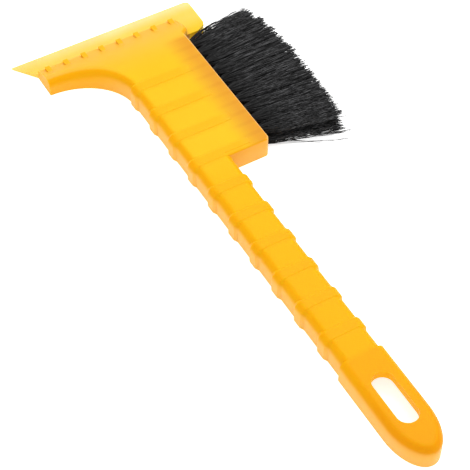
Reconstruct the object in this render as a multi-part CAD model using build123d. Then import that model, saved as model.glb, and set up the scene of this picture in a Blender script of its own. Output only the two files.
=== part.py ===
from build123d import *
import math
import os

# Windshield ice scraper with a snow brush: one thin-walled moulding with an open back carries the
# blade, the head and the handle, and black bristle tufts are stapled into a solid bar along the head.
#
# Layout frame: X from the blade's edge to the end of the handle, Y across the tool with 0 on the
# handle's centre line and the brush on the +Y side, Z up from the open back to the top face.
# The row frame is the same, moved so that its origin is at the middle of the tool's footprint.

# ---- driving dimensions, in millimetres ----
LENGTH = 278.0            # blade edge to the end of the handle
WALL = 2.2                # side walls
PLATE = 2.0               # top face
HEIGHT = 11.0             # back rim to the top face between the bands
BAND_RISE = 0.15          # how far each band stands above the top face
TOP_ROUND = 3.8           # long top edges of the horn and the handle
SHOULDER_ROUND = 2.4      # top edge of the shoulder
EDGE_ROUND = 1.0          # top edges on the brush side and at the head's end

# Handle
HANDLE_HALF = 9.15        # half width between the bands
BAND_HALF = 10.1          # half width over a band
BAND_PITCH = 18.0
BAND_WIDTH = 7.9
BAND_LIP = 0.9            # how far in the ramps at a band's two ends start
BAND_RAMP = 1.7           # how long they are
BAND_START = 46.5         # where the first band starts
BAND_COUNT = 10
HEAD_BANDS = 4            # how many of them also cross the head
HEAD_BAND_Y = 20.0        # where a band ends on the head, short of the brush
HEAD_BAND_BEVEL = 0.14
END_HALF = 10.5           # half width of the plain end
NOSE_LENGTH = 19.1        # the half ellipse that closes the end

# Hanging slot, through the top face of the plain end
SLOT_X = 250.3
SLOT_LENGTH = 26.2
SLOT_WIDTH = 9.8
COLLAR = 1.8              # wall that stands round the slot inside the shell
COLLAR_DEPTH = 4.2        # from the top face down to that wall's end

# Head
FRONT_X = 11.3            # front wall, at the back of the blade
FRONT_Z = 4.8             # height of the front wall, where the slope starts
SLOPE = 22.5              # degrees that the front slope rises
SLOPE_BLEND = 40.0        # radius where the slope runs into the top face
HORN_Y = -39.8            # end wall of the horn, opposite the brush
SHOULDER_Y = 33.4         # side of the head in front of the brush
SHOULDER_X = 24.0         # where that side turns in to the brush
BRUSH_X = 28.8            # where the brush side starts
BRUSH_Y = 29.0            # face that the tufts come out of
HEAD_END_X = 107.5
HOLLOW_X = 50.0           # centre of the elliptic hollow between the horn and the handle
HOLLOW_A = 25.4           # its half axis along X
BAR_DEPTH = 11.0          # solid bar that holds the tufts
BAR_X = 27.2              # front end of that bar

# Blade
BLADE_Y0 = -48.2          # its end on the horn's side
BLADE_Y1 = 46.1           # its end on the brush's side
BLADE_EDGE = 1.1          # thickness of the scraping edge
BLADE_RISE = 0.16         # how fast the blade thickens towards the head
BLADE_TAPER = 2.6         # how far its brush end draws in on the way to the wing's corner
WING_X = 25.0             # back edge of the blade's wing on the brush side
WING_ROUND = 7.0
CORNER_ROUND = 2.5        # of the edge's corner on the brush side

# Ice teeth on the front slope
TOOTH_COUNT = 8
TOOTH_PITCH = 9.27
TOOTH_WIDTH = 2.3
TOOTH_X = 13.2            # front face of a tooth
TOOTH_HEIGHT = 1.7        # above the slope, at that face

# Stiffening ribs inside the shell, one under each band
RIB = 1.8
RIB_RECESS = 1.5          # how far a rib stays above the back rim

# Tufts: two staggered rows
TUFT_COLUMNS = 11         # in the lower row; the upper row has one less
TUFT_PITCH = 7.0
TUFT_FIRST_X = 31.4
ROW_Z = (3.3, 7.6)
ROW_TIP_Z = (3.4, 8.8)
HOLE_RADIUS = 2.0
HOLE_DEPTH = 9.5
TUFT_RADIUS = 1.95        # where it is gathered in its hole
TIP_RADIUS = 3.05         # where it has spread out
TUFT_FREE = 38.4          # length outside the hole, at the middle of the brush
TIP_CROWN = 2.6           # how much lower the trimmed tips are at the brush's two ends
FAN_FIRST = -8.0          # degrees that the first tuft leans away from +Y, towards the handle
FAN_LAST = 12.0

# Anchors: the flat staples that hold each tuft at the bottom of its hole
ANCHOR_LENGTH = 5.0
ANCHOR_WIDTH = 2.0
ANCHOR_THICKNESS = 0.4

# ---- worked out from the above ----
HOLLOW_B = -HANDLE_HALF - HORN_Y
END_X = BAND_START + BAND_COUNT * BAND_PITCH
NOSE_X = LENGTH - NOSE_LENGTH
BAR_Y = BRUSH_Y - BAR_DEPTH
HOLE_Y = BRUSH_Y - HOLE_DEPTH
BAND_HEIGHT = HEIGHT + BAND_RISE
BAND_INSET = BAND_RAMP * (1 - BAND_RISE / BAND_LIP)    # where a band's ramps leave the top face
UNDERSIDE = HEIGHT - PLATE
RISE = math.tan(math.radians(SLOPE))
TIP_Y = BRUSH_Y + TUFT_FREE
ROW_FRAME = Pos(-LENGTH / 2, -(TIP_Y + BLADE_Y0) / 2, 0)


def block(x0, x1, y0, y1, z0, z1):
    """A box between two corners."""
    return Pos((x0 + x1) / 2, (y0 + y1) / 2, (z0 + z1) / 2) * Box(x1 - x0, y1 - y0, z1 - z0)


def nearest(items, point):
    """The vertex or edge nearest to a point."""
    return items.sort_by(lambda item: (item.center() - Vector(*point)).length)[0]


def top_edges(shape, chosen):
    """The edges of a shape's top face whose centres are chosen."""
    return ShapeList(edge for edge in shape.edges()
                     if edge.center().Z > HEIGHT / 2 + 0.2 and chosen(edge.center()))


def profile_along_y(points, y0, y1):
    """A closed outline of (x, z) points, carried from y0 to y1."""
    outline = Polyline(*[(x, y0, z) for x, z in points], close=True)
    return extrude(make_face(outline), y1 - y0, dir=(0, 1, 0))


def arch(x0, x1, half_width, height, radius):
    """A bar along X whose two long top edges are rounded."""
    section = Pos(0, height / 2) * Rectangle(2 * half_width, height)
    section = fillet(section.vertices().group_by(Axis.Y)[-1], radius)
    return Pos(x0, 0, 0) * extrude(Plane.YZ * section, x1 - x0)


def slope_height(x, drop=0.0):
    """Height of the front slope's plane at x."""
    return FRONT_Z + (x - FRONT_X) * RISE - drop


def under_slope(x0, x1, drop):
    """The space below the front slope and the top face, lowered by drop."""
    crest_x = FRONT_X + (HEIGHT - FRONT_Z) / RISE
    crest = (crest_x, HEIGHT - drop)
    face = make_face(Polyline((x0, 0), (x0, slope_height(x0, drop)), crest, (x1, HEIGHT - drop),
                              (x1, 0), close=True))
    face = fillet(nearest(face.vertices(), (*crest, 0)), SLOPE_BLEND - drop)
    space = extrude(Plane.XZ * face, SHOULDER_Y - HORN_Y + 2, dir=(0, 1, 0))
    return Pos(0, HORN_Y - 1, 0) * space


def head_outside():
    """The head with its horn, its hollow and its front slope, still solid."""
    plan = make_face(Polyline(
        (FRONT_X, HORN_Y), (HOLLOW_X, HORN_Y), (HOLLOW_X, -HANDLE_HALF), (HEAD_END_X, -HANDLE_HALF),
        (HEAD_END_X, BRUSH_Y), (BRUSH_X, BRUSH_Y), (SHOULDER_X, SHOULDER_Y), (FRONT_X, SHOULDER_Y),
        close=True))
    corners = {(SHOULDER_X, SHOULDER_Y): 6.0, (HEAD_END_X, BRUSH_Y): 2.2, (FRONT_X, SHOULDER_Y): 2.5}
    for corner, radius in corners.items():
        plan = fillet(nearest(plan.vertices(), (*corner, 0)), radius)
    plan -= Pos(HOLLOW_X, HORN_Y) * Ellipse(HOLLOW_A, HOLLOW_B)
    head = extrude(plan, HEIGHT) & under_slope(FRONT_X, HEAD_END_X + 1, 0)

    head = fillet(top_edges(head, lambda at: HORN_Y + 1 < at.Y < 0.1 - HANDLE_HALF), TOP_ROUND)
    head = fillet(top_edges(head, lambda at: at.Y > BRUSH_Y + 0.1), SHOULDER_ROUND)
    return fillet(top_edges(head, lambda at: abs(at.Y - BRUSH_Y) < 0.1 or at.X > HEAD_END_X - 1), EDGE_ROUND)


def plain_end():
    """The smooth end of the handle, closed by half an ellipse."""
    plan = Pos((END_X + NOSE_X) / 2, 0) * Rectangle(NOSE_X - END_X, 2 * END_HALF)
    plan += Pos(NOSE_X, 0) * Ellipse(NOSE_LENGTH, END_HALF)
    plan &= Pos((END_X + LENGTH) / 2, 0) * Rectangle(LENGTH - END_X, 2 * END_HALF)
    end = extrude(plan, BAND_HEIGHT)
    rim = end.edges().group_by(Axis.Z)[-1].sort_by(Axis.X)[1:]
    return fillet(rim, TOP_ROUND)


def band(start):
    """One raised band, with a ramp at each end."""
    made = arch(start, start + BAND_WIDTH, BAND_HALF, BAND_HEIGHT, TOP_ROUND)
    for index in (0, -1):
        end = made.faces().sort_by(Axis.X)[index]
        rim = end.edges().sort_by(Axis.Z)[1:]
        made = chamfer(rim, BAND_LIP, BAND_RAMP, reference=end)
    return made


def bands():
    """The raised bands that wrap the handle, the first few carried on across the head."""
    made = []
    for index in range(BAND_COUNT):
        start = BAND_START + index * BAND_PITCH
        made.append(band(start))
        if index < HEAD_BANDS:
            stop = min(start + BAND_WIDTH - BAND_INSET, HEAD_END_X - 2 * EDGE_ROUND)
            strip = block(start + BAND_INSET, stop, 0, HEAD_BAND_Y, UNDERSIDE, BAND_HEIGHT)
            made.append(chamfer(strip.edges().group_by(Axis.Z)[-1], HEAD_BAND_BEVEL))
    return made


def blade():
    """The wedge-shaped blade, wider than the head, with one tapered end and one round wing."""
    wedge = profile_along_y(((0, 0), (0, BLADE_EDGE), (WING_X, BLADE_EDGE + WING_X * BLADE_RISE),
                             (WING_X, 0)), BLADE_Y0, BLADE_Y1)
    plan = make_face(Polyline(
        (0, BLADE_Y0), (0, BLADE_Y1), (WING_X, BLADE_Y1 - BLADE_TAPER),
        (WING_X, SHOULDER_Y - WALL), (FRONT_X + WALL, SHOULDER_Y - WALL),
        (FRONT_X + WALL, HORN_Y), (FRONT_X, HORN_Y), close=True))
    plan = fillet(nearest(plan.vertices(), (WING_X, BLADE_Y1 - BLADE_TAPER, 0)), WING_ROUND)
    plan = fillet(nearest(plan.vertices(), (0, BLADE_Y1, 0)), CORNER_ROUND)
    return wedge & extrude(plan, HEIGHT)


def teeth():
    """The row of ice teeth, level on top, that die into the front slope."""
    top = slope_height(TOOTH_X) + TOOTH_HEIGHT
    back_x = FRONT_X + (top - FRONT_Z) / RISE
    middle = (HORN_Y + SHOULDER_Y) / 2
    made = []
    for index in range(TOOTH_COUNT):
        y = middle + (index - (TOOTH_COUNT - 1) / 2) * TOOTH_PITCH
        made.append(profile_along_y(
            ((TOOTH_X, FRONT_Z), (TOOTH_X, top), (back_x, top), (back_x, FRONT_Z)),
            y - TOOTH_WIDTH / 2, y + TOOTH_WIDTH / 2))
    return made


def cavities():
    """What is hollowed out of the back: the head beside the bar, the handle and its plain end."""
    plan = make_face(Polyline(
        (FRONT_X + WALL, HORN_Y + WALL), (HOLLOW_X, HORN_Y + WALL), (HOLLOW_X, -HANDLE_HALF + WALL),
        (HEAD_END_X - WALL, -HANDLE_HALF + WALL), (HEAD_END_X - WALL, BAR_Y), (BAR_X, BAR_Y),
        (BAR_X, BRUSH_Y - WALL),
        (SHOULDER_X - WALL, SHOULDER_Y - WALL), (FRONT_X + WALL, SHOULDER_Y - WALL), close=True))
    plan -= Pos(HOLLOW_X, HORN_Y) * Ellipse(HOLLOW_A + WALL, HOLLOW_B + WALL)
    head = extrude(plan, HEIGHT) & under_slope(FRONT_X, HEAD_END_X, PLATE)

    handle = arch(HEAD_END_X - 2 * WALL, END_X + 2 * WALL, HANDLE_HALF - WALL, UNDERSIDE,
                  TOP_ROUND - WALL)

    end_plan = Pos((END_X + WALL + NOSE_X) / 2, 0) * Rectangle(NOSE_X - END_X - WALL, 2 * (END_HALF - WALL))
    end_plan += Pos(NOSE_X, 0) * Ellipse(NOSE_LENGTH - WALL, END_HALF - WALL)
    end_plan &= Pos(END_X + WALL + LENGTH / 2, 0) * Rectangle(LENGTH, 2 * END_HALF)
    end = extrude(end_plan, UNDERSIDE)
    return head, handle, end


def ribs():
    """A rib under each band; the band at the head's end wall needs none."""
    made = []
    for index in range(BAND_COUNT):
        if index == HEAD_BANDS - 1:
            continue
        x = BAND_START + index * BAND_PITCH + BAND_WIDTH / 2
        side = BAR_Y + 1 if index < HEAD_BANDS else HANDLE_HALF - WALL / 2
        made.append(block(x - RIB / 2, x + RIB / 2, -HANDLE_HALF + WALL / 2, side,
                          RIB_RECESS, HEIGHT - PLATE / 2))
    return made


def tuft_places():
    """Each tuft's name, the middle of its mouth and the middle of its tip."""
    places = []
    span = (TUFT_COLUMNS - 1) * TUFT_PITCH
    for row, name in enumerate(("lower", "upper")):
        for column in range(TUFT_COLUMNS - row):
            along = (column + row / 2) * TUFT_PITCH
            free = TUFT_FREE - TIP_CROWN * (2 * along / span - 1) ** 2
            lean = math.radians(FAN_FIRST + (FAN_LAST - FAN_FIRST) * along / span)
            mouth = Vector(TUFT_FIRST_X + along, BRUSH_Y, ROW_Z[row])
            tip = Vector(mouth.X + free * math.tan(lean), BRUSH_Y + free, ROW_TIP_Z[row])
            places.append((f"tuft_{name}_{column + 1:02d}", mouth, tip))
    return places


def anchor(mouth):
    """The flat staple across the bottom of one tuft's hole."""
    return block(mouth.X - ANCHOR_LENGTH / 2, mouth.X + ANCHOR_LENGTH / 2,
                 HOLE_Y, HOLE_Y + ANCHOR_WIDTH,
                 mouth.Z - ANCHOR_THICKNESS / 2, mouth.Z + ANCHOR_THICKNESS / 2)


def tuft(mouth, tip):
    """One tuft as a solid: gathered in its hole, round its anchor, and spreading to its trimmed tip."""
    bottom = Vector(mouth.X, HOLE_Y, mouth.Z)
    sections = [Plane(origin=centre, z_dir=(0, 1, 0)) * Circle(radius) for centre, radius in (
        (bottom, TUFT_RADIUS), (mouth, TUFT_RADIUS), (tip, TIP_RADIUS))]
    return loft(sections, ruled=True) - anchor(mouth)


def slot(margin, depth):
    """The hanging slot's shape, grown by margin, from the top face down to a depth."""
    outline = SlotOverall(SLOT_LENGTH + 2 * margin, SLOT_WIDTH + 2 * margin)
    return Pos(SLOT_X, 0, BAND_HEIGHT - depth) * extrude(outline, depth)


def body():
    """The whole moulding."""
    solid = head_outside()
    solid += arch(HEAD_END_X - 10, END_X + 1, HANDLE_HALF, HEIGHT, TOP_ROUND)
    solid += plain_end()
    solid += bands()
    solid += blade()
    solid += teeth()
    solid -= cavities()
    solid += ribs()
    solid += slot(COLLAR, COLLAR_DEPTH)
    solid -= slot(0, BAND_HEIGHT)
    for _, mouth, _ in tuft_places():
        hole = Pos(mouth.X, (HOLE_Y + mouth.Y + 1) / 2, mouth.Z) * Rot(90, 0, 0) * Cylinder(
            HOLE_RADIUS, HOLE_DEPTH + 1)
        solid -= [hole, anchor(mouth)]
    return solid


def main():
    os.makedirs("parts", exist_ok=True)
    nodes = {"scraper_body": body()}
    nodes["tuft_anchors"] = Compound([anchor(mouth) for _, mouth, _ in tuft_places()])
    for name, mouth, tip in tuft_places():
        nodes[name] = tuft(mouth, tip)
    for name, shape in nodes.items():
        export_step(ROW_FRAME * shape, f"parts/{name}.step")


main()
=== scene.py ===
import math
from types import SimpleNamespace

import bpy
import numpy as np
from mathutils import Matrix, Vector


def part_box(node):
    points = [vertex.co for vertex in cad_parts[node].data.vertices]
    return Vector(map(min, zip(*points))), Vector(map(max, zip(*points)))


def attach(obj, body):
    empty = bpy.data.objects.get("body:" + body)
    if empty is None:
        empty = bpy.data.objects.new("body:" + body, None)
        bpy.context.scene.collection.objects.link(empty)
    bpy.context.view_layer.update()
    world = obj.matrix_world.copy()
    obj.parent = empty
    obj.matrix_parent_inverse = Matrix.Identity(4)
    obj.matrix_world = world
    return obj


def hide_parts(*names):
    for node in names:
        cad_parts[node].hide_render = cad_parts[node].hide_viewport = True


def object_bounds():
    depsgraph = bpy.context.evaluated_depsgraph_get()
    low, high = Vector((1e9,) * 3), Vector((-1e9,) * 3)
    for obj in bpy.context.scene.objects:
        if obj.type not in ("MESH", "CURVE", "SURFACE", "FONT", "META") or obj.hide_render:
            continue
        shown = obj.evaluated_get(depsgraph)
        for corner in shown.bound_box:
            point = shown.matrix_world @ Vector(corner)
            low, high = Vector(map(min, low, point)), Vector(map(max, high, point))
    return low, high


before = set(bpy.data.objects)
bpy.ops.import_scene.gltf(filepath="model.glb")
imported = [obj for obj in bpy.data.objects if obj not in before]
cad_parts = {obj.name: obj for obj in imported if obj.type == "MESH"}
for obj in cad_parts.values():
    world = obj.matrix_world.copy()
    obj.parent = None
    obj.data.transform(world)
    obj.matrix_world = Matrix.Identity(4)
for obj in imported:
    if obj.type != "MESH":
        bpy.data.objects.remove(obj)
cad_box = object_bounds()

MM = 0.001

# ---- camera: the angle and distance that the object is seen from ----
AZIMUTH = math.radians(59.95)
ELEVATION = math.radians(50.0)
DISTANCE = 664.4 * MM
TARGET = Vector((5.56, -20.06, 5.6)) * MM
LENS = 119.8                       # in millimetres, as is the sensor's width
SENSOR_WIDTH = 36
CLIP_START = 10 * MM

# ---- studio, in metres and watts ----
SKY_STRENGTH = 0.95
OVERHEAD_PLACE = (-0.25, 0.35, 0.9)
OVERHEAD_SIZE = 0.8
OVERHEAD_POWER = 7
FLOOR_HALF = 3.0                   # from the floor's middle to its edge
FLOOR_DROP = 0.2 * MM              # keeps the floor just under the tool's back
FLOOR_GLOW = 0.7

# ---- places on the moulding, in millimetres ----
# x runs from the blade's edge, y from the handle's centre line and z from the back. A pair such as (44, 47)
# says where a change starts and where it is complete, and may run backwards.
HANDLE_Y = 9.6                     # from the middle of the footprint down to the handle's centre line
EDGE_CORNER = (cad_box[0][0], -HANDLE_Y * MM, 0)
BANDS_X = ((44, 47), (228, 226))   # the stretch that has raised bands
BANDS_Y = (27.5, 26.5)             # where those of the head end, beside the brush
BAND_START = 46.5
BAND_PITCH = 18.0
BAND_ACROSS = ((0, 2.5), (9.5, 5.5))    # the shade of one band, from its start
BAND_FADE_Y = (20, 14)             # that shade fades towards the brush
BAR_X = (27, 34)                   # the solid bar behind the brush
BAR_Y = (14, 27)
FIRST_TUFT = 31.4
TUFT_PITCH = 7.0
SLOPE_X = (11.3, 26.3)             # the front slope, from the blade to the head
SLOPE_Z = (4.8, 11.0)
TEETH_X = (19, 17.5)
TOOTH_HEIGHT = (0.05, 0.5)         # above the slope
RIM_X = (28, 29.5)                 # the rounded edge beside the brush, which carries a painted highlight
RIM_Y = (27, 28.5)
SHADED_EDGE_X = (44, 62)             # the strip of painted shade along the edge away from the brush, partly the thick wall seen through
SHADED_EDGE_Y = (-3, -9.5)
NOSE_EDGE_X = (225, 265)           # the rounded edge's painted shade deepens towards the nose
HORN_X = (50, 26)                  # the horn, at the head's corner away from the brush
HORN_Y = (0, -8)
LOW_Z = (8.5, 3)                   # down the side walls, where their painted highlight grows
SLOT_X = ((236, 237), (264.6, 264))    # the hanging slot
SLOT_HALF_WIDTH = (6.0, 5.4)
BLADE_X = (11.9, 11.2)             # the blade, from behind
WING_Y = (33.3, 34.2)              # the blade's wing, past the head's side
THICKER_X = (0, 9)                 # behind the edge the blade thickens
THICKER_Y = (10, -45)
WING_X = (12, 26)
WING_REAR_X = (20, 24)

# ---- which way a surface faces ----
# A level surface counts 1 and a wall 0. ALONG is for surfaces that face along the tool, which count 1.
LEVEL = (0.86, 0.99)
BAND_STEP_LEVEL = (0.62, 0.7)      # the small steps at the bands still count as level
BAND_STEP_ALONG = (0.3, 0.42)
SIDE_WALL = (0.55, 0.1)
UPRIGHT = (0.6, 0.2)

# ---- plastic colours ----
TOP_HEAD = (0.71, 0.424, 0.010)
TOP_SHADES = (                     # along x, each laid over the ones above it
    ((95, 125), (0.71, 0.380, 0.003)),     # the grip
    ((130, 222), (0.71, 0.362, 0.001)),    # its far part
    ((224, 228), (0.71, 0.318, 0.001)),    # the plain end
    ((240, 278), (0.69, 0.285, 0.001)),    # the nose
    ((44, 14), (0.71, 0.385, 0.050)),      # the front slope
)
OVER_BAR = (0.60, 0.265, 0.019)
STREAK = (0.52, 0.20, 0.014)
BAND = (0.70, 0.340, 0.004)
# painted shade: the rounded edges are painted deeper orange where they turn away from the top and catch less
# light, partly also the thicker plastic seen through them
ROUNDED_SHADE = (0.71, 0.32, 0.001)
ROUNDED_NOSE_SHADE = (0.68, 0.255, 0.001)
# painted highlight: a thin pale line along the rounded edge beside the brush
RIM_HIGHLIGHT = (0.71, 0.40, 0.14)
# painted highlight: the side walls are painted a paler peach for the light they catch, most of all low down
# where light comes from below
WALL_HIGHLIGHT = (0.71, 0.375, 0.075)
# painted light: the slot's inner sides are painted brighter to make up for the shade inside the slot
SLOT_WALL_PAINTED_LIGHT = (0.98, 0.53, 0.004)
TOOTH = (0.71, 0.37, 0.012)
# painted light: the teeth's upright sides are painted brighter to make up for the shade at their feet
TOOTH_SIDE_PAINTED_LIGHT = (0.90, 0.46, 0.015)
BLADE_THIN = (0.70, 0.60, 0.26)
BLADE_THICK = (0.71, 0.50, 0.085)
BLADE_WING = (0.71, 0.45, 0.012)
# painted light: the upright rear of the blade's wing is painted brighter to make up for the brush's shadow
# on it
BLADE_REAR_PAINTED_LIGHT = (1.0, 0.68, 0.015)
CLOUD = (0.70, 0.36, 0.005)

# ---- how strongly a colour is laid on, from 0 to 1, and how sharply streaks and clouds show ----
STREAK_WEIGHT = 0.3
STREAK_COSINE = (0.2, 1.0)         # a streak is narrower than the gap to the next one
BAND_WEIGHT = 0.55
SHADED_EDGE_WEIGHT = 0.55
WALL_HIGHLIGHT_WEIGHT = (0.6, 1.0)           # of the walls' painted highlight, at the top of a wall and low down
OFF_HORN = (1.0, 0.7)              # how far the horn keeps the walls' painted highlight off, at the top and low down
BLADE_SIDE_WEIGHT = 0.5
CLOUD_WEIGHT = 0.18
CLOUD_CONTRAST = (0.35, 0.7)

# ---- bristle colours ----
BRISTLE_DARK = (0.004, 0.004, 0.004)
BRISTLE_LIGHT = (0.105, 0.105, 0.108)
BRISTLE_CONTRAST = (0.42, 0.7)
BRISTLE_ROOT_SHADE_Y = (16 * MM, 40 * MM)    # painted shade: filaments stay dark near the roots, and lighter ones show from here outwards

# ---- a tuft of the brush ----
FILAMENTS = 200
FILAMENT_RADIUS = (0.11 * MM, 0.18 * MM)
FILAMENT_SIDES = 3
FILAMENT_RINGS = 18
RINGS_INSIDE = 2                   # of those rings, inside the hole
TIP_TAPER = 0.7                    # radius at the tip, as a share of the radius at the root
CRIMP = 0.16 * MM                  # how far the waves of a filament swing
WAVES = (2.0, 4.5)                 # how many waves a filament has
HOLE_DEPTH = 9.5 * MM
END_SLICE = 0.1 * MM               # how near to a plain tuft's end its end points lie
ROOT_DEPTH = 5.0 * MM              # how far the filaments are drawn inside their hole
ROOT_SPREAD = 1.8 * MM
SIDE_FAN = math.radians(28)        # how far the outer filaments lean sideways at the hole
ROOT_RISE = 0.12                   # slope of the outer filaments up or down at the hole
TIP_LEAN = 0.06                    # slope of the outer filaments sideways at the tip
ROOT_HANDLE = 0.3                  # handles of a filament's curve, as shares of its free length
TIP_HANDLE = 0.4
TIP_SPREAD = 4.0 * MM
TIP_LIFT = 2.3 * MM
TIP_SCATTER = 0.5 * MM
PAST_TIP = 0.6 * MM                # how far the bristles reach past the plain solid's tip
TRIM = (-2.0 * MM, 0.8 * MM)       # how far a filament reaches past its lock, and a stray past that
STRAY_TRIM = (-1.5 * MM, 2.0 * MM)
TIP_LOWEST = 0.3 * MM              # above the plane of the tool's back
FILAMENT_LOWEST = 0.2 * MM

# ---- locks: groups of filaments in a tuft whose tips lean together ----
LOCKS = 30
LOCK_MIXING = 0.2                  # how far filaments of one lock start apart, in half-widths of the hole
LOCK_SHIFT = 0.16                  # how unevenly the locks are spaced, in half-widths of the tip
LOCK_TRIM = 0.5 * MM               # how unevenly they are trimmed
LOCK_LIFT = 0.5                    # shares of TIP_LIFT that come from the lock and from the filament
OWN_LIFT = 0.6

# ---- how the tufts at the brush's two ends differ from those between ----
FIRST, BETWEEN, LAST = -1, 0, 1    # signs of the side that is the outer one
STRAYS = {FIRST: 0.16, BETWEEN: 0.02, LAST: 0.16}    # share of filaments that lean out on their own
STRAY_DRIFT = {FIRST: 2.8 * MM, BETWEEN: 2.8 * MM, LAST: 5.2 * MM}    # how far those lean
OUTER_FAN = {FIRST: 1.5, BETWEEN: 1.0, LAST: 0.4}    # how wide the outer side opens, times SIDE_FAN
SHORTER = {FIRST: 2.4 * MM, BETWEEN: 0.0, LAST: 0.0}
THINNED = 0.7                      # share of the outer side's filaments that lie on the inner side instead
END_NUMBERS = {"01": FIRST, "11": LAST}    # by the last two figures of a tuft's name
SEED = 7


# ---- studio ----
def make_camera():
    """A long lens at the viewing angle, level with the horizon."""
    back = Vector((math.sin(AZIMUTH) * math.cos(ELEVATION),
                   -math.cos(AZIMUTH) * math.cos(ELEVATION), math.sin(ELEVATION)))
    right = Vector((math.cos(AZIMUTH), math.sin(AZIMUTH), 0))
    up = back.cross(right)
    camera = bpy.data.objects.new("camera", bpy.data.cameras.new("camera"))
    camera.data.lens = LENS
    camera.data.sensor_width = SENSOR_WIDTH
    camera.data.clip_start = CLIP_START
    camera.matrix_world = Matrix.Translation(TARGET + back * DISTANCE) @ Matrix(
        (right, up, back)).transposed().to_4x4()
    bpy.context.scene.collection.objects.link(camera)
    bpy.context.scene.camera = camera


def light_studio():
    """A light tent: white all round, and a square soft box overhead that points at the tool."""
    world = bpy.data.worlds.new("studio")
    world.use_nodes = True
    sky = world.node_tree.nodes["Background"]
    sky.inputs["Color"].default_value = (1, 1, 1, 1)
    sky.inputs["Strength"].default_value = SKY_STRENGTH
    bpy.context.scene.world = world

    light = bpy.data.lights.new("overhead", "AREA")
    light.size = OVERHEAD_SIZE
    light.energy = OVERHEAD_POWER
    box = bpy.data.objects.new("overhead", light)
    box.location = OVERHEAD_PLACE
    box.rotation_euler = (TARGET - box.location).to_track_quat("-Z", "Y").to_euler()
    bpy.context.scene.collection.objects.link(box)


def make_floor():
    """A white light table: lit from above, and glowing a little itself."""
    mesh = bpy.data.meshes.new("floor")
    corners = [(x * FLOOR_HALF, y * FLOOR_HALF, 0) for x, y in ((-1, -1), (1, -1), (1, 1), (-1, 1))]
    mesh.from_pydata(corners, [], [(0, 1, 2, 3)])
    floor = bpy.data.objects.new("floor", mesh)
    floor.location.z = -FLOOR_DROP
    bpy.context.scene.collection.objects.link(floor)
    material, _, shader = new_material("floor")
    shader.inputs["Base Color"].default_value = (0.9, 0.9, 0.9, 1)
    shader.inputs["Roughness"].default_value = 0.9
    shader.inputs["Specular IOR Level"].default_value = 0.0
    shader.inputs["Emission Color"].default_value = (1, 1, 1, 1)
    shader.inputs["Emission Strength"].default_value = FLOOR_GLOW
    mesh.materials.append(material)


# ---- shader nodes ----
def new_material(name):
    """A material, its node tree and its shader."""
    material = bpy.data.materials.new(name)
    material.use_nodes = True
    tree = material.node_tree
    return material, tree, tree.nodes["Principled BSDF"]


def node(tree, kind, values=None, links=None, **settings):
    """Adds a node, sets its inputs and links others into them."""
    made = tree.nodes.new(kind)
    for name, value in settings.items():
        setattr(made, name, value)
    for name, value in (values or {}).items():
        made.inputs[name].default_value = value
    for name, source in (links or {}).items():
        tree.links.new(source, made.inputs[name])
    return made


def remap(tree, source, before, after, **settings):
    """Carries the range before of a value over to the range after."""
    limits = dict(zip(("From Min", "From Max", "To Min", "To Max"), (*before, *after)))
    return node(tree, "ShaderNodeMapRange", limits, {"Value": source}, **settings).outputs[0]


def ease(tree, source, change):
    """0 before the start of change, 1 after its end and smooth between; the start may be the larger one."""
    start, stop = change
    return remap(tree, source, sorted(change), (float(start > stop), float(start < stop)),
                 interpolation_type="SMOOTHSTEP")


def between(tree, source, rise, fall):
    """1 from the end of rise to the end of fall, and 0 outside both."""
    return times(tree, ease(tree, source, rise), ease(tree, source, fall))


def maths(tree, operation, *values):
    """One sum on one or two values, each a socket or a number."""
    made = node(tree, "ShaderNodeMath", operation=operation)
    for index, value in enumerate(values):
        if isinstance(value, (int, float)):
            made.inputs[index].default_value = value
        else:
            tree.links.new(value, made.inputs[index])
    return made.outputs[0]


def times(tree, first, *others):
    """The product of any number of values."""
    product = first
    for factor in others:
        product = maths(tree, "MULTIPLY", product, factor)
    return product


def blend(tree, weight, under, over):
    """The colour over laid on the colour under by weight; each colour is a socket or a value."""
    made = node(tree, "ShaderNodeMix", {}, {0: weight}, data_type="RGBA")
    under_socket, over_socket, result_socket = 6, 7, 2
    for index, colour in ((under_socket, under), (over_socket, over)):
        if isinstance(colour, tuple):
            made.inputs[index].default_value = (*colour, 1)
        else:
            tree.links.new(colour, made.inputs[index])
    return made.outputs[result_socket]


# ---- the moulding's material ----
def moulding_point(tree):
    """Where a point of the moulding is, in millimetres, and which way it faces, as sockets."""
    place = node(tree, "ShaderNodeTexCoord")
    spot = node(tree, "ShaderNodeVectorMath", {1: EDGE_CORNER}, {0: place.outputs["Object"]},
                operation="SUBTRACT")
    spot = node(tree, "ShaderNodeVectorMath", {"Scale": 1 / MM}, {0: spot.outputs[0]}, operation="SCALE")
    xyz = node(tree, "ShaderNodeSeparateXYZ", {}, {0: spot.outputs[0]})
    normal = node(tree, "ShaderNodeSeparateXYZ", {}, {0: place.outputs["Normal"]})
    return SimpleNamespace(spot=spot.outputs[0], x=xyz.outputs["X"], y=xyz.outputs["Y"], z=xyz.outputs["Z"],
                           level=maths(tree, "ABSOLUTE", normal.outputs["Z"]),
                           along=maths(tree, "ABSOLUTE", normal.outputs["X"]))


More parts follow.
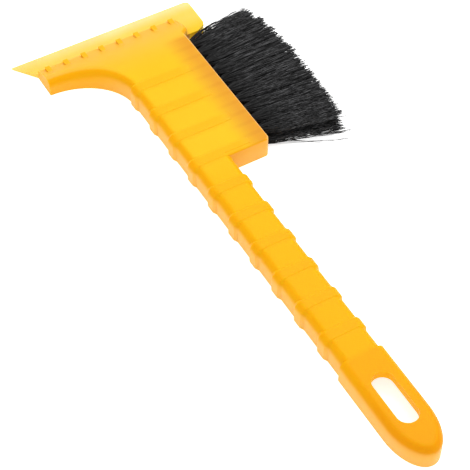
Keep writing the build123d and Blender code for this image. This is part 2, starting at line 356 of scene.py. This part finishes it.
def top_colour(tree, at, on_bands):
    """The top face: its shades along the tool, the solid bar with a faint streak at each hole, the bands."""
    colour = TOP_HEAD
    for change, shade in TOP_SHADES:
        colour = blend(tree, ease(tree, at.x, change), colour, shade)

    over_bar = times(tree, ease(tree, at.x, BAR_X), ease(tree, at.y, BAR_Y))
    colour = blend(tree, over_bar, colour, OVER_BAR)
    phase = times(tree, maths(tree, "SUBTRACT", at.x, FIRST_TUFT), 2 * math.pi / TUFT_PITCH)
    streak = ease(tree, maths(tree, "COSINE", phase), STREAK_COSINE)
    colour = blend(tree, times(tree, streak, over_bar, STREAK_WEIGHT), colour, STREAK)

    cycle = maths(tree, "FLOORED_MODULO", maths(tree, "SUBTRACT", at.x, BAND_START), BAND_PITCH)
    band = times(tree, between(tree, cycle, *BAND_ACROSS), on_bands, ease(tree, at.y, BAND_FADE_Y))
    return blend(tree, times(tree, band, BAND_WEIGHT), colour, BAND)


def edge_colour(tree, at, colour, on_bands):
    """Lays painted shade on the rounded edges, a painted highlight on the rim beside the brush and painted
    highlights on the side walls, on colour.
    """
    band_step = times(tree, ease(tree, at.y, BANDS_Y), on_bands, ease(tree, at.along, BAND_STEP_ALONG),
                      ease(tree, at.level, BAND_STEP_LEVEL))
    # painted shade: whatever is not level, apart from the bands' small steps, gets the deeper orange of a
    # rounded edge
    flat = maths(tree, "MAXIMUM", band_step, ease(tree, at.level, LEVEL))
    rounded = blend(tree, ease(tree, at.x, NOSE_EDGE_X), ROUNDED_SHADE, ROUNDED_NOSE_SHADE)
    # painted shade in a strip along the edge away from the brush, partly the thick wall seen through the top
    shaded_edge = times(tree, ease(tree, at.y, SHADED_EDGE_Y), ease(tree, at.x, SHADED_EDGE_X))
    colour = blend(tree, times(tree, shaded_edge, SHADED_EDGE_WEIGHT), colour, rounded)
    # painted highlight along the rounded edge beside the brush
    rim_highlight_weight = times(tree, ease(tree, at.y, RIM_Y), ease(tree, at.x, RIM_X))
    rounded = blend(tree, rim_highlight_weight, rounded, RIM_HIGHLIGHT)
    colour = blend(tree, maths(tree, "SUBTRACT", 1.0, flat), colour, rounded)

    # painted highlight on the side walls, stronger low down and kept off the horn
    low = ease(tree, at.z, LOW_Z)
    horn = times(tree, ease(tree, at.x, HORN_X), ease(tree, at.y, HORN_Y),
                 remap(tree, low, (0, 1), OFF_HORN))
    wall_highlight = times(tree, ease(tree, at.level, SIDE_WALL), remap(tree, low, (0, 1), WALL_HIGHLIGHT_WEIGHT),
                 maths(tree, "SUBTRACT", 1.0, horn))
    return blend(tree, wall_highlight, colour, WALL_HIGHLIGHT)


def slot_colour(tree, at, colour, upright):
    """Lays painted light on the sides of the hanging slot, a brighter orange that makes up for the shade
    inside it, on colour.
    """
    in_slot = times(tree, between(tree, at.x, *SLOT_X),
                    ease(tree, maths(tree, "ABSOLUTE", at.y), SLOT_HALF_WIDTH))
    return blend(tree, times(tree, in_slot, upright), colour, SLOT_WALL_PAINTED_LIGHT)


def teeth_colour(tree, at, colour, upright):
    """Lays the ice teeth, which stand above the front slope, on colour; their upright sides get painted
    light, brighter to make up for the shade they stand in.
    """
    height = maths(tree, "SUBTRACT", at.z, remap(tree, at.x, SLOPE_X, SLOPE_Z))
    tooth = times(tree, ease(tree, height, TOOTH_HEIGHT), ease(tree, at.x, TEETH_X))
    return blend(tree, tooth, colour, blend(tree, upright, TOOTH, TOOTH_SIDE_PAINTED_LIGHT))


def blade_colour(tree, at, colour, upright):
    """Lays the lemon of the blade, which is paler where it is thin, on colour; the upright rear of its wing
    gets painted light, brighter to make up for the brush's shadow.
    """
    lemon = blend(tree, ease(tree, at.x, THICKER_X), BLADE_THIN, BLADE_THICK)
    lemon = blend(tree, times(tree, ease(tree, at.y, THICKER_Y), BLADE_SIDE_WEIGHT), lemon, BLADE_THICK)
    lemon = blend(tree, ease(tree, at.x, WING_X), lemon, BLADE_WING)
    # painted light on the wing's upright rear, against the brush's shadow
    lemon = blend(tree, times(tree, upright, ease(tree, at.x, WING_REAR_X)), lemon, BLADE_REAR_PAINTED_LIGHT)
    on_blade = maths(tree, "MAXIMUM", ease(tree, at.x, BLADE_X), ease(tree, at.y, WING_Y))
    return blend(tree, on_blade, colour, lemon)


def amber_plastic():
    """Translucent yellow-orange plastic: paler where it is thin and deeper where it is thick; its rounded
    edges are deeper, partly from painted shade, its side walls carry painted highlights and a few shaded
    sides are painted brighter.
    """
    material, tree, shader = new_material("amber_plastic")
    at = moulding_point(tree)
    on_bands = between(tree, at.x, *BANDS_X)
    upright = ease(tree, at.level, UPRIGHT)
    colour = top_colour(tree, at, on_bands)
    colour = edge_colour(tree, at, colour, on_bands)
    for lay in (slot_colour, teeth_colour, blade_colour):
        colour = lay(tree, at, colour, upright)

    # cloudiness of the moulded plastic, and a faint grain in its gloss
    cloud = node(tree, "ShaderNodeTexNoise", {"Scale": 0.045, "Detail": 3.0}, {"Vector": at.spot})
    cloudy = times(tree, ease(tree, cloud.outputs[0], CLOUD_CONTRAST), CLOUD_WEIGHT)
    grain = node(tree, "ShaderNodeTexNoise", {"Scale": 1.6, "Detail": 4.0}, {"Vector": at.spot}).outputs[0]
    bump = node(tree, "ShaderNodeBump", {"Strength": 0.12, "Distance": 0.05 * MM}, {"Height": grain})

    tree.links.new(blend(tree, cloudy, colour, CLOUD), shader.inputs["Base Color"])
    tree.links.new(remap(tree, grain, (0, 1), (0.3, 0.46)), shader.inputs["Roughness"])
    tree.links.new(bump.outputs[0], shader.inputs["Normal"])
    shader.inputs["Specular IOR Level"].default_value = 0.05
    shader.inputs["Subsurface Weight"].default_value = 0.3
    shader.inputs["Subsurface Radius"].default_value = (1.0, 0.5, 0.1)
    shader.inputs["Subsurface Scale"].default_value = 3.0 * MM
    return material


# ---- the other materials ----
def stretched_noise(tree, scale, detail):
    """Noise drawn out along the axis of the object that has the smallest scale."""
    place = node(tree, "ShaderNodeTexCoord").outputs["Object"]
    along = node(tree, "ShaderNodeMapping", {"Scale": scale}, {"Vector": place})
    noise = node(tree, "ShaderNodeTexNoise", {"Scale": 1.0, "Detail": detail}, {"Vector": along.outputs[0]})
    return noise.outputs[0], place


def black_bristle():
    """Black nylon, a little lighter and shinier from one filament to the next, with painted shade keeping it
    dark near the roots.
    """
    material, tree, shader = new_material("black_bristle")
    strand, place = stretched_noise(tree, (2600, 90, 2600), 2.0)
    y = node(tree, "ShaderNodeSeparateXYZ", {}, {0: place}).outputs["Y"]
    # lighter filaments at random, held back near the roots by painted shade
    light = times(tree, ease(tree, strand, BRISTLE_CONTRAST), ease(tree, y, BRISTLE_ROOT_SHADE_Y))
    tree.links.new(blend(tree, light, BRISTLE_DARK, BRISTLE_LIGHT), shader.inputs["Base Color"])
    tree.links.new(remap(tree, strand, (0, 1), (0.3, 0.6)), shader.inputs["Roughness"])
    shader.inputs["Specular IOR Level"].default_value = 0.2
    return material


def anchor_steel():
    """Plain steel strip, faintly brushed along its length."""
    material, tree, shader = new_material("anchor_steel")
    brushed, _ = stretched_noise(tree, (300, 6000, 6000), 2.0)
    tree.links.new(remap(tree, brushed, (0, 1), (0.25, 0.45)), shader.inputs["Roughness"])
    shader.inputs["Base Color"].default_value = (0.7, 0.7, 0.72, 1)
    shader.inputs["Metallic"].default_value = 1.0
    return material


def give(piece, material):
    """The piece has only this material."""
    piece.data.materials.clear()
    piece.data.materials.append(material)


# ---- the brush ----
def tuft_line(name):
    """The middle of a tuft's bottom and the middle of its tip, read from its plain solid."""
    points = np.array([v.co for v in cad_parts[name].data.vertices])
    low, high = points[:, 1].min(), points[:, 1].max()
    root = points[points[:, 1] < low + END_SLICE]
    tip = points[points[:, 1] > high - END_SLICE]
    return (root.min(0) + root.max(0)) / 2, (tip.min(0) + tip.max(0)) / 2


def filament_tips(tip, across, lift, rng, side):
    """Where each filament of a tuft ends: close to its lock's other tips, or off on its own."""
    lock = (across + LOCK_MIXING * rng.normal(0, 1, FILAMENTS) + 1) / 2 * LOCKS
    lock = lock.clip(0, LOCKS - 1).astype(int)
    lock_x = (np.arange(LOCKS) + 0.5) / LOCKS * 2 - 1 + rng.normal(0, LOCK_SHIFT, LOCKS)
    lock_z = rng.uniform(-1, 1, LOCKS)
    lock_y = rng.normal(0, LOCK_TRIM, LOCKS)
    end = np.stack([tip[0] + TIP_SPREAD * lock_x[lock] + rng.normal(0, TIP_SCATTER, FILAMENTS),
                    tip[1] + PAST_TIP + lock_y[lock] + rng.uniform(*TRIM, FILAMENTS),
                    tip[2] + TIP_LIFT * (LOCK_LIFT * lock_z[lock] + OWN_LIFT * lift)], axis=1)

    stray = rng.uniform(0, 1, FILAMENTS) < STRAYS[side]
    drift = rng.normal(0, STRAY_DRIFT[side], stray.sum())
    end[stray, 0] += side * np.abs(drift) if side else drift
    end[stray, 1] += rng.uniform(*STRAY_TRIM, stray.sum())
    end[:, 1] -= SHORTER[side]
    end[:, 2] = np.clip(end[:, 2], TIP_LOWEST, None)
    return end


def filament_paths(root, tip, mouth_y, rng, side):
    """The paths of a tuft's filaments, an array of (filament, ring, xyz)."""
    turn = rng.uniform(0, 2 * math.pi, FILAMENTS)
    reach = np.sqrt(rng.uniform(0, 1, FILAMENTS))
    across, lift = reach * np.cos(turn), reach * np.sin(turn)
    thinned = (across * side > 0) & (rng.uniform(0, 1, FILAMENTS) < THINNED)
    across = np.where(thinned, -across, across)
    mouth = np.stack([root[0] + ROOT_SPREAD * across, np.full(FILAMENTS, mouth_y),
                      root[2] + ROOT_SPREAD * lift], axis=1)
    end = filament_tips(tip, across, lift, rng, side)

    # each one leaves its hole on a slant and bends back towards the lean of the tuft
    free = (end[:, 1] - mouth_y)[:, None]
    lean = (tip[0] - root[0]) / (tip[1] - mouth_y)
    open_out = math.tan(SIDE_FAN) * across * np.where(across * side > 0, OUTER_FAN[side], 1.0)
    out = np.stack([lean + open_out, np.ones(FILAMENTS), ROOT_RISE * lift], axis=1)
    last = np.stack([lean + TIP_LEAN * across, np.ones(FILAMENTS), np.zeros(FILAMENTS)], axis=1)
    near, far = mouth + out * free * ROOT_HANDLE, end - last * free * TIP_HANDLE
    t = np.linspace(0, 1, FILAMENT_RINGS - RINGS_INSIDE)[None, :, None]
    curve = ((1 - t) ** 3 * mouth[:, None] + 3 * (1 - t) ** 2 * t * near[:, None]
             + 3 * (1 - t) * t ** 2 * far[:, None] + t ** 3 * end[:, None])

    # its crimp grows from nothing at the hole, and no part of it sinks below the tool's back
    waves = rng.uniform(*WAVES, FILAMENTS)[:, None]
    phase = rng.uniform(0, 1, FILAMENTS)[:, None]
    wave = np.sin(2 * math.pi * (waves * t[..., 0] + phase)) * np.sqrt(t[..., 0])
    curve[..., 0] += CRIMP * wave
    curve[..., 2] += CRIMP * np.roll(wave, 2, axis=0)
    curve[..., 2] = np.clip(curve[..., 2], FILAMENT_LOWEST, None)
    start = mouth - [0, ROOT_DEPTH, 0]
    inside = np.stack([start, (start + mouth) / 2], axis=1)
    return np.concatenate([inside, curve], axis=1)


def filament_tubes(paths, radius):
    """Thin closed tubes along the paths, with one radius each: vertices and faces."""
    count, rings, _ = paths.shape
    along = np.gradient(paths, axis=1)
    along /= np.linalg.norm(along, axis=2, keepdims=True)
    side = np.cross(along, (0, 0, 1.0))
    side /= np.linalg.norm(side, axis=2, keepdims=True)
    other = np.cross(along, side)
    thickness = radius[:, None, None] * np.linspace(1.0, TIP_TAPER, rings)[None, :, None]
    corners = []
    for index in range(FILAMENT_SIDES):
        turn = 2 * math.pi * index / FILAMENT_SIDES
        corners.append(paths + thickness * (math.cos(turn) * side + math.sin(turn) * other))
    vertices = np.stack(corners, axis=2).reshape(-1, 3)

    first = np.arange(count * rings * FILAMENT_SIDES).reshape(count, rings, FILAMENT_SIDES)
    following = np.roll(first, -1, axis=2)
    quads = np.stack([first[:, :-1], following[:, :-1], following[:, 1:], first[:, 1:]], axis=-1)
    caps = np.concatenate([first[:, 0, ::-1], first[:, -1]])
    return vertices, [tuple(face) for face in quads.reshape(-1, 4).tolist() + caps.tolist()]


def make_tuft(name, material, rng, mouth_y, side):
    """One tuft of separate filaments in the place of its plain solid; side is FIRST, BETWEEN or LAST."""
    root, tip = tuft_line(name)
    paths = filament_paths(root, tip, mouth_y, rng, side)
    vertices, faces = filament_tubes(paths, rng.uniform(*FILAMENT_RADIUS, FILAMENTS))
    mesh = bpy.data.meshes.new(name.replace("tuft", "bristles"))
    mesh.from_pydata(vertices.tolist(), [], faces)
    mesh.polygons.foreach_set("use_smooth", [True] * len(mesh.polygons))
    piece = bpy.data.objects.new(mesh.name, mesh)
    bpy.context.scene.collection.objects.link(piece)
    give(piece, material)
    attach(piece, "root")
    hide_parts(name)


# ---- the scene ----
bpy.context.scene.view_settings.view_transform = "Standard"
make_camera()
light_studio()
make_floor()

give(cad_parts["scraper_body"], amber_plastic())
give(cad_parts["tuft_anchors"], anchor_steel())

bristle_material = black_bristle()
mouth_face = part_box("tuft_anchors")[0][1] + HOLE_DEPTH
rng = np.random.default_rng(SEED)
tufts = sorted(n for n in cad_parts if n.startswith(("tuft_lower", "tuft_upper")))
for tuft_name in tufts:
    make_tuft(tuft_name, bristle_material, rng, mouth_face, END_NUMBERS.get(tuft_name[-2:], BETWEEN))
